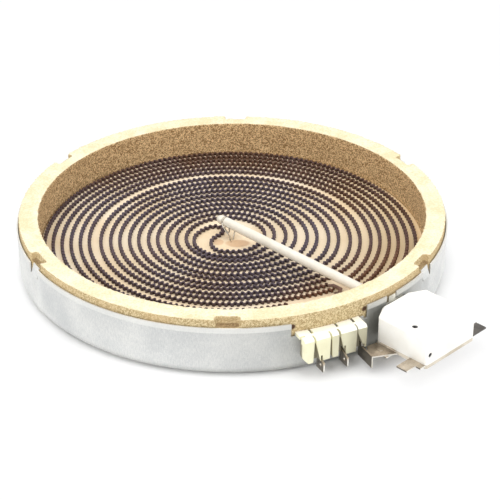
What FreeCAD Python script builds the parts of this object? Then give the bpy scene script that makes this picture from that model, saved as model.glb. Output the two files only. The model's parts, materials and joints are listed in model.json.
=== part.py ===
import FreeCAD, Part
import math
import os

Vector = FreeCAD.Vector

# A radiant heating element for a glass-ceramic hob. A shallow steel pan holds a pressed
# insulation base and a standing insulation ring. Two corrugated ribbons lie on the base: an
# inner bifilar spiral and an outer group of concentric strands. A thin ceramic tube with a
# metal rod inside it crosses the coils and works the switch contacts in the ceramic head.
# Millimetres, +Z up, origin at the middle of the pan's underside.

# Steel pan
pan_radius = 114.6        # outside of the straight wall
sheet = 0.5               # sheet thickness
pan_corner = 5.5          # outside radius between floor and wall
corner_steps = 3          # flats that stand for that radius
pan_height = 27.5         # rim height
rim_band = 2.7            # height of the flat-rolled band along the rim
rim_step = 0.25           # how far that band stands out

# Insulation
base_clearance = 0.2      # base to pan wall
ring_seat = 8.8           # step of the base that the ring stands on
seat_depth = 3.0
base_top = ring_seat + seat_depth         # heating face of the base
ring_gap = 0.55           # ring to pan wall
ring_wall = 10.5
ring_outer = pan_radius - sheet - ring_gap
ring_inner = ring_outer - ring_wall
ring_stand = 4.0          # height of the ring above the pan's rim
ring_top = pan_height + ring_stand
ring_fit = 0.15           # ring bore to the raised middle of the base

# Notches round the ring and the pan tabs bent over them
notch_count = 6
notch_start = -91.3       # degrees, the front notch, which has no tab
notch_width = 12.0
notch_depth = 3.9         # radial
notch_floor = pan_height
tab_width = 7.0
tab_length = 5.8
tab_lean = 16.0           # degrees inwards
slit_width = 1.0
tab_room = 0.4            # beside and behind a tab
tab_root = 0.5            # below the ends of the slits

# Shallow press mark in the middle of the base
mark_x, mark_y = 2.4, -8.5
mark_length, mark_width, mark_depth = 15.0, 6.0, 0.6

# Ribbons, drawn as the band that the corrugations sweep
ribbon_width = 2.0
ribbon_height = 2.3
chord_error = 0.5         # largest distance of a straight run from its strand

# Inner circuit: a two-start spiral, radius as a function of the turned angle
spiral_start = {"a": 10.05, "b": 15.33}
spiral_growth = 9.13      # per turn
spiral_from = {"a": 212.0, "b": 185.0}   # degrees where the strands leave the hairpin
hairpin = (
    (-10.6, -3.6), (-9.5, -0.3), (-7.6, 2.8), (-5.8, 5.4), (-4.9, 7.9), (-5.6, 9.9),
    (-7.7, 10.5), (-10.6, 9.2), (-14.2, 6.3), (-17.4, 2.8),
)
step_from, step_to = 280.0, 340.0
step_size, step_grow = -4.43, 3.30
east_size, east_grow = -0.60, -0.151
north_size, north_grow = -0.063, -0.187

# Outer circuit: strands joined to and fro by hairpins
outer_margin = 3.15       # ring to the outermost strand
strand_steps = (0.0, 4.55, 9.35, 14.15, 19.1, 23.9)      # from that strand inwards
outer_radii = [ring_inner - outer_margin - step for step in strand_steps]
outer_centre = (-1.05, 0.3)
outer_from, outer_to = -38.5, 290.0

# Limiter line, seen from above
limiter_azimuth = -46.1
limiter_height = 20.0
rod_radius = 1.1
rod_play = 0.5
tube_bore = rod_radius + rod_play
tube_wall = 1.0
tube_radius = tube_bore + tube_wall
tube_from = -4.5
neck_wall, cap_wall = 0.65, 1.15
neck_radius = rod_radius + neck_wall
cap_radius = rod_radius + cap_wall
neck_length = 1.8
cap_length = 2.3          # straight part before the round tip
rod_grip = 3.5            # length of the rod inside the cap
rod_from = tube_from - rod_grip
tube_play = 0.2           # radial, holes that the tube passes
wire = 0.4                # clip wire radius
clip_near = (1.0, -2.1)   # where the near leg enters the base
clip_far = (-1.5, 3.0)
clip_depth = 1.5
eye_shift = (3.4, -3.4, -3.4)     # from the ring round the neck to the second eye
# Bends of the legs, from the middle of the ring: along, across and up
near_bends = ((1.2, -3.5, -1.0), (3.6, -3.3, -2.0), (5.2, -2.9, -4.0))
far_bends = ((1.1, 3.3, 0.8), (2.4, 3.5, -1.0))

# The inner circuit has as many turns as fit in the outer one; both of its strands end
# beside the tube
circuit_gap = 5.5
beside_tube = 0.4
spiral_room = outer_radii[-1] - circuit_gap - spiral_start["b"]
spiral_end = 360 * int(spiral_room / spiral_growth) + limiter_azimuth - beside_tube

# Limiter head
head_gap = 0.7            # pan wall to the head
head_length = 35.4
head_from = pan_radius + head_gap
head_to = head_from + head_length
head_half = 18.0
nose_inset = 8.8          # sideways reach of the slanted corners
head_nose = head_half - nose_inset
head_chamfer = 4.7        # length of the slanted corners
tube_lap, rod_lap = 2.7, 5.9      # reach of the tube and of the rod into the head
tube_to = head_from + tube_lap
rod_to = head_from + rod_lap
head_above = 4.0          # over the middle of the tube
floor_height, cover_height = 2.0, 14.0
head_top = limiter_height + head_above
head_split = head_top - cover_height
head_bottom = head_split - floor_height
head_edge = 0.8           # broken edges
head_wall = 2.6
head_roof = 2.4
top_hole_back, top_hole_in, top_hole_radius = 12.6, 5.6, 1.5
top_hole_s, top_hole_d = head_to - top_hole_back, top_hole_in - head_half
end_hole_in, end_hole_up, end_hole_radius, end_hole_depth = 2.5, 5.0, 1.25, 3.0
end_hole_d, end_hole_z = end_hole_in - head_half, head_split + end_hole_up
screw_radius = 1.25
screw_head_radius, screw_head_height = screw_radius + 1.05, 1.4
pillar_wall = 1.25
pillar_radius = screw_radius + pillar_wall
pillar_height = 6.0
pillar_top = head_split + pillar_height
pillar_front, pillar_back = 6.7, 4.3
pillar_places = (head_from + pillar_front, head_to - pillar_back)
rib_half = 1.0            # ribs between the pillars and the end walls
screw_end = pillar_top - 1.0
screw_room = 0.3          # below the end of a screw

# Switch parts in the head
tab_thick = 0.8
tab_play = 0.15
blade_width = 6.3
leaf = 0.3
leaf_side = 6.0           # inner edge of the springs from the middle line
leaf_span = 8.0
leaf_under = 0.4          # springs and risers to the roof
leaf_top = head_top - head_roof - leaf_under
leaf_past = 3.0           # reach of the springs past the middle line
leaf_bottom = pillar_top + 0.5    # underside of that reach
contact_radius, contact_height = 2.0, 0.9
button_height = 0.7       # contact buttons on the springs
contact_up = 5.0
contact_z = head_split + contact_up
pin_radius, pin_tip_radius = 1.4, 0.8
bite = 0.1                # overlap of riveted and bent parts with what carries them

# Head bracket welded to the pan wall
bracket_half = 6.0
bracket_thick = 0.5
bracket_bottom = head_bottom - bracket_thick
bracket_drop = 3.5        # below the rim
bracket_top = pan_height - bracket_drop
bracket_end = head_to - 1.7
tongue_from, tongue_to = -4.7, 0.1
tongue_top = pan_height - 0.3
tongue_play = 1.1         # beside the tongue in its slot
slot_from, slot_to = tongue_from - tongue_play, tongue_to + tongue_play
slot_depth = 5.0
slot_bottom = pan_height - slot_depth

# Blades, seen in the terminal block's frame: n outwards, t to the right
blade_thick = 0.8
outer_blade_t, inner_blade_t, link_t = -10.9, 1.7, 12.0
blade_chamfer = 0.8
blade_hole, hole_back = 0.8, 2.8  # radius, and distance from the front
tail_rise, tail_height = 1.0, 2.4
tail_bottom = ring_seat + tail_rise
tail_top = tail_bottom + tail_height
inner_tail_top = base_top + ribbon_height
tail_lap = 0.95           # tail beyond the ring's inner wall
tail_end = ring_inner + tail_lap

# Terminal block, which stands on the wall beside the head
block_spacing = 37.00273  # along the wall from the limiter line
block_azimuth = limiter_azimuth - math.degrees(block_spacing / pan_radius)
block_depth, back_depth = 7.4, 4.0        # teeth and backbone in front of the wall
block_face = pan_radius + block_depth
block_back = pan_radius + back_depth
block_left, block_right = -18.0, 13.6
lug_drop, lug_height = 5.5, 0.6           # lugs below the rim, and their height
lug_under = pan_height - lug_drop
block_top = lug_under + lug_height
block_bottom = tail_bottom - 0.6
block_edge = 1.2          # broken edge along the top of the teeth
block_play = 0.15
lug_inner = ring_outer + 0.2
lug_depth = 2.4
lug_outer = pan_radius + lug_depth
lug_left = block_left - 2.4
lug_low = block_top - 1.7
# Teeth: left and right at the top, left and right at the foot, then the heights where
# the left side starts to lean and of the foot, from the underside
teeth = (
    (block_left - 2.2, -14.9, block_left - 0.2, -15.6, 2.6, 0.3),
    (-14.0, -6.3, -11.6, -6.6, 10.3, 0.2),
    (-5.4, -1.7, -5.0, -2.0, 10.3, 0.2),
    (-0.6, 8.1, 2.0, 7.7, 10.3, 0.0),
    (8.7, block_right, 12.3, block_right - 0.3, 10.3, 1.2),
)
# Narrow gaps in the back edge, between the lugs that hook over the rim
gap_places = (-13.5, 0.1, 9.1)
gap_width, gap_depth = 1.3, 4.6
gap_outer, gap_low = lug_outer - 0.1, block_top - gap_depth
tail_cover = 0.9          # block over the tallest tail
window_from, window_to = outer_blade_t - 2.3, link_t + 1.2
window_bottom, window_top = tail_bottom - 0.4, inner_tail_top + tail_cover
cutout_from, cutout_to = lug_left - 2.2, block_right + 4.8
relief = 2.0
relief_depth = 1.5

# Ends of the blades and the leads
outer_blade_front, inner_blade_front = block_face + 2.2, block_face + 3.0
blade_reach = 7.5         # height of a blade
blade_drop = 5.7          # below the block
blade_bottom = block_bottom - blade_drop
blade_top = blade_bottom + blade_reach
root_gap = 2.6            # blade to wall
blade_root = pan_radius + root_gap
lead_thick = 0.4
lead_width = 2.2
lead_lap = 4.0            # length of a lead on top of a tail
channel_half = 1.5
channel_top = inner_tail_top + lead_thick + 0.4

# Ways of the leads in the block's frame, partly as offsets from the ribbon ends
outer_past = 0.6
inner_way = ((ring_inner - 2.0, inner_blade_t), (ring_inner - 13.05, 12.0))
round_b, past_b, near_a = (4.0, 0.2), (0.4, 2.9), (0.6, 2.8)
common_way = ((ring_inner - 11.05, 12.0), (ring_inner - 19.05, 12.0))
beside_b, before_b = (1.36, -1.06), (6.03, 0.54)
common_bend, near_lap = (ring_inner - 25.55, 4.0), (0.3, 0.15)

# Link strap, its flat plate in limiter coordinates
link_bottom = blade_bottom - 0.1
link_reach = 8.4          # leg beyond the block's face
link_front = block_face + link_reach
link_root = blade_root + 3.0
link_bend = 3.4           # length of the bend between plate and leg
plate_play = 1.4          # plate to the head
plate_edge = -head_half - plate_play
plate_near_head = ((head_from + 5.3, plate_edge), (head_from + 18.7, plate_edge))
plate_near_head += ((head_from + 17.4, plate_edge - 2.2),)
plate_corner = (head_from + 4.4, plate_edge - 6.0)
weld_s, weld_d, weld_radius, weld_height = head_from + 10.6, plate_edge - 3.4, 1.6, 0.3
joggle_d, joggle_length = -head_half - 0.4, 0.8


def box(x, y, z):
    """Box between the pairs of limits x, y and z."""
    return Part.makeBox(x[1] - x[0], y[1] - y[0], z[1] - z[0], Vector(x[0], y[0], z[0]))


def prism(points, z_from, z_to):
    """Upright prism over a plan outline."""
    corners = [Vector(p[0], p[1], z_from) for p in points]
    face = Part.Face(Part.makePolygon(corners + corners[:1]))
    return face.extrude(Vector(0, 0, z_to - z_from))


def profile_across(points, y_from, y_to):
    """Outline of (x, z) points carried sideways from y_from to y_to."""
    corners = [Vector(x, y_from, z) for x, z in points]
    face = Part.Face(Part.makePolygon(corners + corners[:1]))
    return face.extrude(Vector(0, y_to - y_from, 0))


def profile_outwards(points, x_from, x_to):
    """Outline of (y, z) points carried outwards from x_from to x_to."""
    corners = [Vector(x_from, y, z) for y, z in points]
    face = Part.Face(Part.makePolygon(corners + corners[:1]))
    return face.extrude(Vector(x_to - x_from, 0, 0))


def revolved(points):
    """Solid of revolution about Z from (radius, height) points."""
    corners = [Vector(r, 0, z) for r, z in points]
    face = Part.Face(Part.makePolygon(corners + corners[:1]))
    return face.revolve(Vector(), Vector(0, 0, 1), 360)


def bar(radius, x_from, x_to, y=0.0, z=limiter_height):
    """Round bar along the limiter line."""
    return Part.makeCylinder(radius, x_to - x_from, Vector(x_from, y, z), Vector(1, 0, 0))


def post(radius, z_from, z_to, x, y):
    """Upright round post."""
    return Part.makeCylinder(radius, z_to - z_from, Vector(x, y, z_from))


def turned(shape, azimuth):
    """The shape swung about the pan's axis."""
    copy = shape.copy()
    copy.rotate(Vector(), Vector(0, 0, 1), azimuth)
    return copy


def joined(shapes):
    """Pieces of one part as one clean solid."""
    whole = shapes[0].fuse(shapes[1:])
    return whole.removeSplitter()


def export(shape, node):
    shape.exportStep(os.path.join("parts", node + ".step"))


def strip_along(points, width, z_from, z_to):
    """Strip of even width whose middle line follows plan points."""
    left, right = [], []
    last = len(points) - 1
    for i, here in enumerate(points):
        before, after = points[max(i - 1, 0)], points[min(i + 1, last)]
        run = Vector(after[0] - before[0], after[1] - before[1], 0)
        run.normalize()
        left.append((here[0] - run.y * width / 2, here[1] + run.x * width / 2))
        right.append((here[0] + run.y * width / 2, here[1] - run.x * width / 2))
    return prism(left + right[::-1], z_from, z_to)


def on_circle(radius, degrees, centre=(0.0, 0.0)):
    angle = math.radians(degrees)
    return (centre[0] + radius * math.cos(angle), centre[1] + radius * math.sin(angle))


def in_base_frame(point, azimuth):
    """World plan position of a point given in a swung frame."""
    angle = math.radians(azimuth)
    c, s = math.cos(angle), math.sin(angle)
    return (point[0] * c - point[1] * s, point[0] * s + point[1] * c)


# Pan

through_wall = (pan_radius - 6, pan_radius + 6)


def pan_profile(radius, corner, low, steps):
    """One skin of the sheet, from the axis out and round the corner in a few steps."""
    points = [(0, low)]
    for i in range(steps + 1):
        angle = math.radians(-90 + 90 * i / steps)
        reach = radius - corner + corner * math.cos(angle)
        points.append((reach, low + corner + corner * math.sin(angle)))
    return points


def bent_tab():
    """Strip of the wall between two slits, leaning in over a notch."""
    strip = box((0, sheet), (-tab_width / 2, tab_width / 2), (0, tab_length))
    strip.rotate(Vector(sheet, 0, 0), Vector(0, 1, 0), -tab_lean)
    strip.translate(Vector(pan_radius - sheet, 0, pan_height - tab_length))
    return strip


def make_pan():
    band_foot = pan_height - rim_band
    outside = pan_profile(pan_radius, pan_corner, 0, corner_steps)
    outside += [(pan_radius, band_foot - rim_step), (pan_radius + rim_step, band_foot)]
    outside += [(pan_radius + rim_step, pan_height)]
    inside = pan_profile(pan_radius - sheet, pan_corner - sheet, sheet, corner_steps - 1)
    inside += [(pan_radius - sheet, pan_height)]
    pan = revolved(outside + inside[::-1])

    reach = through_wall
    over = pan_height + 1
    gap = tab_width / 2 + slit_width
    opening = box(reach, (-gap, gap), (pan_height - tab_length, over))
    cuts, tabs = [], []
    for i in range(1, notch_count):
        azimuth = notch_start + 360 / notch_count * i
        cuts.append(turned(opening, azimuth))
        tabs.append(turned(bent_tab(), azimuth))

    cutout = box(reach, (cutout_from, cutout_to), (lug_under, over))
    corner_low = lug_under - relief_depth
    left_relief = box(reach, (cutout_from, cutout_from + relief), (corner_low, over))
    right_relief = box(reach, (cutout_to - relief, cutout_to), (corner_low, over))
    window = box(reach, (window_from, window_to), (window_bottom, window_top))
    for cut in (cutout, left_relief, right_relief, window):
        cuts.append(turned(cut, block_azimuth))

    rim_slot = box(reach, (slot_from, slot_to), (slot_bottom, over))
    cuts.append(turned(rim_slot, limiter_azimuth))
    cuts.append(turned(bar(tube_radius + tube_play, *reach), limiter_azimuth))
    return joined([pan.cut(cuts)] + tabs)


# Insulation

def press_mark():
    """Shallow dish: a slender spindle lying just above the bed and dipping into it."""
    lift = ((mark_width / 2) ** 2 - mark_depth ** 2) / (2 * mark_depth)
    start, end = Vector(-mark_length / 2, 0, -lift), Vector(mark_length / 2, 0, -lift)
    belly = Part.Arc(start, Vector(0, 0, -lift - mark_depth), end).toShape()
    sides = Part.makePolygon([end, Vector(end.x, 0, 0), Vector(start.x, 0, 0), start])
    spindle = Part.Face(Part.Wire([belly] + sides.Edges)).revolve(Vector(), Vector(1, 0, 0), 360)
    spindle.translate(Vector(mark_x, mark_y, base_top + lift))
    return spindle


def make_base():
    radius = pan_radius - sheet - base_clearance
    corner = pan_corner - sheet + base_clearance
    section = pan_profile(radius, corner, sheet, 1)
    middle = ring_inner - ring_fit
    section += [(radius, ring_seat), (middle, ring_seat), (middle, base_top), (0, base_top)]
    base = revolved(section)

    holes = [press_mark()]
    for place in (clip_near, clip_far):
        hole = post(wire + tube_play, base_top - clip_depth, base_top + 1, *place)
        holes.append(turned(hole, limiter_azimuth))
    return base.cut(holes)


def make_ring():
    section = [(ring_inner, ring_seat), (ring_outer, ring_seat)]
    section += [(ring_outer, ring_top), (ring_inner, ring_top)]
    ring = revolved(section)

    outside = ring_outer + 5
    half = notch_width / 2
    notch = box((ring_outer - notch_depth, outside), (-half, half), (notch_floor, ring_top + 1))
    root, over = pan_height - tab_length - tab_root, notch_floor + 0.1
    lean = math.tan(math.radians(tab_lean)) * (notch_floor - root)
    skin = pan_radius - sheet - tab_room
    slope = [(skin, root), (skin - lean, over), (outside, over), (outside, root)]
    pocket_half = tab_width / 2 + tab_room
    pocket = profile_across(slope, -pocket_half, pocket_half)
    cuts = []
    for i in range(notch_count):
        azimuth = notch_start + 360 / notch_count * i
        cuts.append(turned(notch, azimuth))
        if i:
            cuts.append(turned(pocket, azimuth))

    cuts.append(turned(bar(tube_radius + tube_play, ring_inner - 5, outside), limiter_azimuth))
    for t in (outer_blade_t, inner_blade_t, link_t):
        across = (t - channel_half, t + channel_half)
        channel = box((ring_inner - 8, outside), across, (ring_seat, channel_top))
        cuts.append(turned(channel, block_azimuth))
    return ring.cut(cuts)


# Heating ribbons

def smooth(x):
    x = min(max(x, 0.0), 1.0)
    return x * x * (3 - 2 * x)


def spiral_radius(strand, degrees):
    """Radius of a spiral strand; each turn steps outwards as it passes under the tube."""
    turns = degrees / 360
    whole = math.floor((degrees - step_from) / 360)
    part = degrees - step_from - 360 * whole
    stair = whole + smooth(part / (step_to - step_from)) + step_from / 360 - turns
    east = (east_size + east_grow * turns) * math.cos(math.radians(degrees))
    north = (north_size + north_grow * turns) * math.sin(math.radians(degrees))
    steady = spiral_start[strand] + spiral_growth * turns
    return steady + (step_size + step_grow * turns) * stair + east + north


def strand_points(radius_at, first, last, centre=(0.0, 0.0)):
    """Points along a strand, as far apart as chord_error allows at each radius."""
    points, here = [], first
    way = 1 if last > first else -1
    while (last - here) * way > 0:
        radius = radius_at(here)
        points.append(on_circle(radius, here, centre))
        here += way * math.degrees(2 * math.acos(1 - chord_error / radius))
    points.append(on_circle(radius_at(last), last, centre))
    return points


def inner_path():
    """Strand a inwards, the hairpin near the middle, strand b outwards."""
    inwards = strand_points(lambda a: spiral_radius("a", a), spiral_end, spiral_from["a"])
    outwards = strand_points(lambda a: spiral_radius("b", a), spiral_from["b"], spiral_end)
    return [*inwards, *hairpin, *outwards]


def outer_path():
    """Concentric strands run to and fro, with a hairpin at each end."""
    path = []
    first, last = outer_to + 2, outer_from
    for i, radius in enumerate(outer_radii):
        if i == len(outer_radii) - 1:
            last = outer_to + 2
        path += strand_points(lambda a: radius, first, last, outer_centre)
        if i < len(outer_radii) - 1:
            following = outer_radii[i + 1]
            middle, turn_radius = (radius + following) / 2, (radius - following) / 2
            way = 180 if last > first else -180
            hub = on_circle(middle, last, outer_centre)
            for step in (1, 2, 3, 4):
                path.append(on_circle(turn_radius, last + way * step / 5, hub))
        first, last = last, (outer_to if last == outer_from else outer_from)
    return path


def make_ribbon(path):
    return strip_along(path, ribbon_width, base_top, base_top + ribbon_height)


# Limiter

def make_tube():
    length = bar(tube_radius, tube_from, tube_to)
    return length.cut(bar(tube_bore, tube_from - 1, tube_to + 1))


def spun_along_limiter(points):
    """Solid of revolution about the limiter line from (s, radius) points."""
    corners = [Vector(s, 0, r) for s, r in points]
    face = Part.Face(Part.makePolygon(corners + corners[:1]))
    solid = face.revolve(Vector(), Vector(1, 0, 0), 360)
    solid.translate(Vector(0, 0, limiter_height))
    return solid


def make_end_cap():
    """Necked cap with a domed tip, bored for the rod."""
    neck_end = tube_from - neck_length
    straight_end = neck_end - cap_length
    section = [(rod_from, 0), (rod_from, rod_radius), (tube_from, rod_radius), (tube_from, neck_radius)]
    section += [(neck_end, neck_radius), (neck_end, cap_radius)]
    for i in range(3):
        angle = math.radians(45 * i)
        section.append((straight_end - cap_radius * math.sin(angle), cap_radius * math.cos(angle)))
    return spun_along_limiter(section)


def wire_section():
    """Corners of the wire's section, drawn with four sides."""
    corners = [math.radians(90 * i) for i in range(4)]
    return [(wire * math.cos(a), wire * math.sin(a)) for a in corners]


def wire_along(points):
    """Wire through the given points, in straight runs with mitred bends."""
    turn = FreeCAD.Rotation(Vector(0, 0, 1), points[1] - points[0])
    corners = [points[0] + turn.multVec(Vector(x, y, 0)) for x, y in wire_section()]
    section = Part.makePolygon(corners + corners[:1])
    return Part.makePolygon(points).makePipeShell([section], True, False, 1)


def make_clip():
    hub = Vector(tube_from - neck_length / 2, 0, limiter_height)
    ring_radius = neck_radius + wire + 0.05
    ring = spun_along_limiter([(hub.x + x, ring_radius + y) for x, y in wire_section()])
    eye = ring.copy()
    eye.rotate(hub, Vector(0, 0, 1), 90)
    eye.translate(Vector(*eye_shift))

    legs = []
    for side, bends, place in ((-1, near_bends, clip_near), (1, far_bends, clip_far)):
        run = [hub + Vector(0, side * ring_radius, 0)]
        run += [hub + Vector(*bend) for bend in bends]
        run.append(Vector(place[0], place[1], base_top + 2 * clip_depth))
        run.append(Vector(place[0], place[1], base_top - clip_depth + tube_play))
        legs.append(wire_along(run))
    return joined([ring, eye] + legs)


def head_outline(inset=0.0):
    """Plan of the head, drawn in by inset on all sides."""
    front, back = head_from + inset, head_to - inset
    half, nose = head_half - inset, head_nose - inset / 2
    shoulder = head_from + head_chamfer + inset / 2
    near_side = [(front, -nose), (shoulder, -half), (back, -half)]
    far_side = [(back, half), (shoulder, half), (front, nose)]
    return near_side + far_side


def broken_edges(solid, top=None):
    """Upright edges broken, and those round the top if one is given."""
    chosen = []
    for edge in solid.Edges:
        limits = edge.BoundBox
        upright = limits.ZLength > 1
        on_top = top is not None and abs(limits.ZMin - top) < 0.01
        if upright or on_top:
            chosen.append(edge)
    return solid.makeChamfer(head_edge, chosen)


def make_head_cover():
    cover = broken_edges(prism(head_outline(), head_split, head_top), head_top)
    cavity = prism(head_outline(head_wall), head_split - 1, head_top - head_roof)
    pieces = [cover.cut(cavity)]
    tall = (head_split, pillar_top)
    for s, wall in zip(pillar_places, (head_from + head_wall, head_to - head_wall)):
        pieces.append(post(pillar_radius, *tall, s, 0))
        pieces.append(box((min(s, wall - 1), max(s, wall + 1)), (-rib_half, rib_half), tall))
    cover = joined(pieces)

    end_run = (head_to - end_hole_depth, head_to + 1)
    cuts = [bar(tube_radius + tube_play, head_from - 1, head_from + head_wall + 1)]
    cuts.append(post(top_hole_radius, head_top - head_roof - 1, head_top + 1, top_hole_s, top_hole_d))
    cuts.append(bar(end_hole_radius, *end_run, end_hole_d, end_hole_z))
    for s in pillar_places:
        cuts.append(post(screw_radius, head_split - 1, screw_end + screw_room, s, 0))
    return cover.cut(cuts)


# Flat blades of the head: limits along s and d, on the near or the far side
inner_end = 6.5
shoulder_width, shoulder_length = 3.0, 3.6
line_tab_s, signal_tab_s = head_from + 25.4, head_from + 28.0
link_tab_s, inner_tab_s = head_from + 6.7, head_from + 6.3
link_tab_width = 10.0
line_reach, link_tab_reach, signal_reach, inner_reach = 10.0, 7.0, 11.2, 8.0
near_side, far_side = -head_half, head_half
head_tabs = {
    "main_tab_line": ((line_tab_s, line_tab_s + blade_width), (near_side - line_reach, -inner_end)),
    "main_tab_link": ((link_tab_s, link_tab_s + link_tab_width), (near_side - link_tab_reach, -inner_end)),
    "signal_tab_outer": ((signal_tab_s, signal_tab_s + blade_width), (inner_end, far_side + signal_reach)),
    "signal_tab_inner": ((inner_tab_s, inner_tab_s + blade_width), (inner_end, far_side + inner_reach)),
}

# The springs stand before the fixed contacts on the risers
spring_gap, signal_gap = 1.9, 2.2
main_leaf_s = line_tab_s - spring_gap
signal_leaf_s = signal_tab_s - signal_gap


def make_head_base():
    base = broken_edges(prism(head_outline(), head_bottom, head_split))
    cuts = []
    for s, d in head_tabs.values():
        groove_s = (s[0] - tab_play, s[1] + tab_play)
        groove_d = (d[0] - tab_play, d[1] + tab_play)
        cuts.append(box(groove_s, groove_d, (head_split - tab_thick, head_split + 1)))
    for s in pillar_places:
        cuts.append(post(screw_radius, head_bottom - 1, head_split + 1, s, 0))
    return base.cut(cuts)


def head_tab(name):
    s, d = head_tabs[name]
    return box(s, d, (head_split - tab_thick, head_split))


def contact_riser(s, side):
    """Upright sheet on a blade with the fixed contact on its face."""
    across = sorted((side * inner_end, side * (leaf_side + leaf_span)))
    sheet_up = box((s, s + tab_thick), across, (head_split - bite, leaf_top))
    middle = side * (leaf_side + leaf_span / 2)
    return [sheet_up, bar(contact_radius, s - contact_height, s + bite, middle, contact_z)]


def make_line_tab():
    """Blade with its wide shoulder and the riser that carries the fixed contact."""
    s, d = head_tabs["main_tab_line"]
    z = (head_split - tab_thick, head_split)
    across = (-head_half - shoulder_length, -head_half - tab_play)
    shoulder = box((s[1] - 1, s[1] + shoulder_width), across, z)
    return joined([head_tab("main_tab_line"), shoulder] + contact_riser(s[0], -1))


def make_link_tab():
    """Blade that steps down outside the head, to lie under the strap."""
    s, d = head_tabs["main_tab_link"]
    low, middle = head_split - 2 * tab_thick, head_split - tab_thick
    inner = box(s, (joggle_d - joggle_length, d[1]), (middle, head_split))
    outer = box(s, (d[0], joggle_d), (low, middle))
    return joined([inner, outer])


def make_signal_tab():
    """Blade and riser of the signal contact."""
    s, d = head_tabs["signal_tab_outer"]
    return joined([head_tab("signal_tab_outer")] + contact_riser(s[0], 1))


def make_leaf(foot_from, leaf_s, side, across):
    """Spring: a foot on its blade, a riser, and a tongue over the middle line."""
    low, high = sorted((side * inner_end, side * (leaf_side + leaf_span)))
    face = leaf_s + leaf
    foot = box((foot_from, face), (low, high), (head_split, head_split + leaf))
    root = box((leaf_s, face), (low, high), (head_split, leaf_top))
    tongue = box((leaf_s, face), (min(low, across), max(high, across)), (leaf_bottom, leaf_top))
    middle = side * (leaf_side + leaf_span / 2)
    button = bar(contact_radius, face - bite, face + button_height, middle, contact_z)
    return joined([foot, root, tongue, button])


def make_main_spring():
    spring = make_leaf(head_tabs["main_tab_link"][0][0] + 1, main_leaf_s, -1, leaf_past)
    return spring.cut(bar(pin_tip_radius + tube_play, main_leaf_s - 1, main_leaf_s + 1))


def make_signal_spring():
    return make_leaf(head_tabs["signal_tab_inner"][0][0] + 1, signal_leaf_s, 1, -leaf_past)


def make_push_pin():
    stem = bar(pin_radius, rod_to, main_leaf_s)
    return joined([stem, bar(pin_tip_radius, main_leaf_s - 0.5, signal_leaf_s)])


def make_head_screws():
    screws = []
    for s in pillar_places:
        head = post(screw_head_radius, bracket_bottom - screw_head_height, bracket_bottom, s, 0)
        screws.append(joined([head, post(screw_radius, bracket_bottom, screw_end, s, 0)]))
    return Part.makeCompound(screws)


def make_bracket():
    """Curved strip against the wall with a foot under the head and a tongue in the rim slot."""
    across = (-bracket_half, bracket_half)
    strip = box(through_wall, across, (bracket_bottom, bracket_top))
    tongue = box(through_wall, (tongue_from, tongue_to), (bracket_top - 1, tongue_top))
    outer = Part.makeCylinder(pan_radius + sheet, pan_height)
    inner = Part.makeCylinder(pan_radius, pan_height)
    skin = strip.fuse(tongue).common(outer).cut(inner)
    foot = box((through_wall[0], bracket_end), across, (bracket_bottom, head_bottom))
    cuts = [bar(tube_radius + tube_play, *through_wall)]
    for s in pillar_places:
        cuts.append(post(screw_radius, bracket_bottom - 1, head_bottom + 1, s, 0))
    return joined([skin, foot.cut(inner)]).cut(cuts)


# Terminal block

def make_tooth(left_top, right_top, left_foot, right_foot, lean_from, foot):
    low = block_bottom + foot
    outline = [(left_top, block_top), (left_top, block_bottom + lean_from), (left_foot, low)]
    outline += [(right_foot, low), (right_top, block_top)]
    return profile_outwards(outline, block_back - 0.5, block_face)


def make_block():
    whole = (block_left, block_right)
    pieces = [box((pan_radius - 4, block_back), whole, (block_bottom, block_top))]
    pieces.append(box((pan_radius - 4, lug_outer), (lug_left, block_left + 1), (lug_low, block_top)))
    pieces += [make_tooth(*tooth) for tooth in teeth]
    block = joined(pieces)

    edge = [(block_face - block_edge, block_top), (block_face, block_top - block_edge)]
    edge.append((block_face, block_top))
    cuts = [Part.makeCylinder(pan_radius + block_play, lug_under)]
    cuts.append(Part.makeCylinder(lug_inner, pan_height))
    cuts.append(profile_across(edge, lug_left - 1, block_right + 1))
    for t in gap_places:
        across = (t - gap_width / 2, t + gap_width / 2)
        cuts.append(box((lug_inner - 1, gap_outer), across, (gap_low, block_top + 1)))
    block = block.cut(cuts)

    across = (window_from + block_play, window_to - block_play)
    upright = (window_bottom + block_play, window_top - block_play)
    plug = box((pan_radius - 4, pan_radius + 3), across, upright)
    block = joined([block, plug.cut(Part.makeCylinder(lug_inner, pan_height))])

    half = blade_thick / 2 + block_play
    reach = (pan_radius - 6, block_face + 1)
    slots = []
    for t, top in ((outer_blade_t, tail_top), (inner_blade_t, inner_tail_top), (link_t, tail_top)):
        slots.append(box(reach, (t - half, t + half), (block_bottom - 1, top + block_play)))
    return block.cut(slots)


def make_blade(t, front, tail_high):
    """Push-on blade hanging under the block, with the tail that enters the ring."""
    c = blade_chamfer
    points = [(front - c, blade_bottom), (front, blade_bottom + c), (front, blade_top - c)]
    points += [(front - c, blade_top), (blade_root, blade_top), (blade_root, tail_high)]
    points += [(tail_end, tail_high), (tail_end, tail_bottom), (blade_root, tail_bottom)]
    points += [(blade_root, blade_bottom)]
    blade = profile_across(points, t - blade_thick / 2, t + blade_thick / 2)
    middle = Vector(front - hole_back, t - blade_thick, (blade_bottom + tail_bottom) / 2)
    return blade.cut(Part.makeCylinder(blade_hole, 2 * blade_thick, middle, Vector(0, 1, 0)))


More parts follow.
